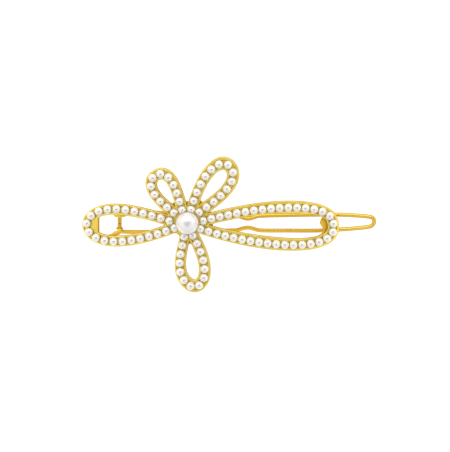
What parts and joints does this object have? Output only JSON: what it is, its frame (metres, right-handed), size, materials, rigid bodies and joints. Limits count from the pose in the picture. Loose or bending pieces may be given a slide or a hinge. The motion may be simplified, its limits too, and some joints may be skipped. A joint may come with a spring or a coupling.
{
  "type": "barrette",
  "caption": "Arched open flower barrette set with pearls, with a swinging spring-wire bail and a catch behind it to hold a lock of hair.",
  "frame": {"origin": "bottom centre of the bounding box; the catch and the two hinge lugs stand on the plane z = 0", "axes": "+X along the barrette from the hinge end to the closed end of the bail, +Y towards the two upper petals, +Z out of the decorated face"},
  "size_m": [0.0734, 0.034, 0.0131],
  "materials": {
    "gold_plate": "polished, lightly brushed gold plating on a casting",
    "gold_wire": "polished gold-plated spring wire",
    "pearl": "pearlescent white lacquer with pale pink, blue and green tints"
  },
  "bodies": {
    "frame": {"bottom_petal_pearl_01": "pearl", "bottom_petal_pearl_02": "pearl", "bottom_petal_pearl_03": "pearl", "bottom_petal_pearl_04": "pearl", "bottom_petal_pearl_05": "pearl", "bottom_petal_pearl_06": "pearl", "bottom_petal_pearl_07": "pearl", "bottom_petal_pearl_08": "pearl", "bottom_petal_pearl_09": "pearl", "bottom_petal_pearl_10": "pearl", "bottom_petal_pearl_11": "pearl", "bottom_petal_pearl_12": "pearl", "bottom_petal_pearl_13": "pearl", "bottom_petal_pearl_14": "pearl", "catch_hook": "gold_plate", "centre_cup": "gold_plate", "centre_pearl": "pearl", "flower_frame": "gold_plate", "left_petal_pearl_run_1": "pearl", "left_petal_pearl_run_2": "pearl", "left_petal_pearl_run_3": "pearl", "left_petal_pearl_run_4": "pearl", "lower_hinge_lug": "gold_plate", "right_petal_pearl_run_1": "pearl", "right_petal_pearl_run_2": "pearl", "right_petal_pearl_run_3": "pearl", "right_petal_pearl_run_4": "pearl", "right_petal_pearl_run_5": "pearl", "right_petal_pearl_run_6": "pearl", "upper_hinge_lug": "gold_plate", "upper_left_petal_pearl_01": "pearl", "upper_left_petal_pearl_02": "pearl", "upper_left_petal_pearl_03": "pearl", "upper_left_petal_pearl_04": "pearl", "upper_left_petal_pearl_05": "pearl", "upper_left_petal_pearl_06": "pearl", "upper_left_petal_pearl_07": "pearl", "upper_left_petal_pearl_08": "pearl", "upper_left_petal_pearl_09": "pearl", "upper_left_petal_pearl_10": "pearl", "upper_left_petal_pearl_11": "pearl", "upper_left_petal_pearl_12": "pearl", "upper_right_petal_pearl_01": "pearl", "upper_right_petal_pearl_02": "pearl", "upper_right_petal_pearl_03": "pearl", "upper_right_petal_pearl_04": "pearl", "upper_right_petal_pearl_05": "pearl", "upper_right_petal_pearl_06": "pearl", "upper_right_petal_pearl_07": "pearl", "upper_right_petal_pearl_08": "pearl", "upper_right_petal_pearl_09": "pearl", "upper_right_petal_pearl_10": "pearl", "upper_right_petal_pearl_11": "pearl", "upper_right_petal_pearl_12": "pearl", "upper_right_petal_pearl_13": "pearl", "upper_right_petal_pearl_14": "pearl", "upper_right_petal_pearl_15": "pearl"},
    "bail": {"wire_bail": "gold_wire"}
  },
  "joints": [
    {"name": "bail_swing", "type": "hinge", "parent": "frame", "child": "bail", "pos_m": [-0.02746, -0.00044, 0.0012], "axis": [0, 1, 0], "range_deg": [0, 85]}
  ]
}
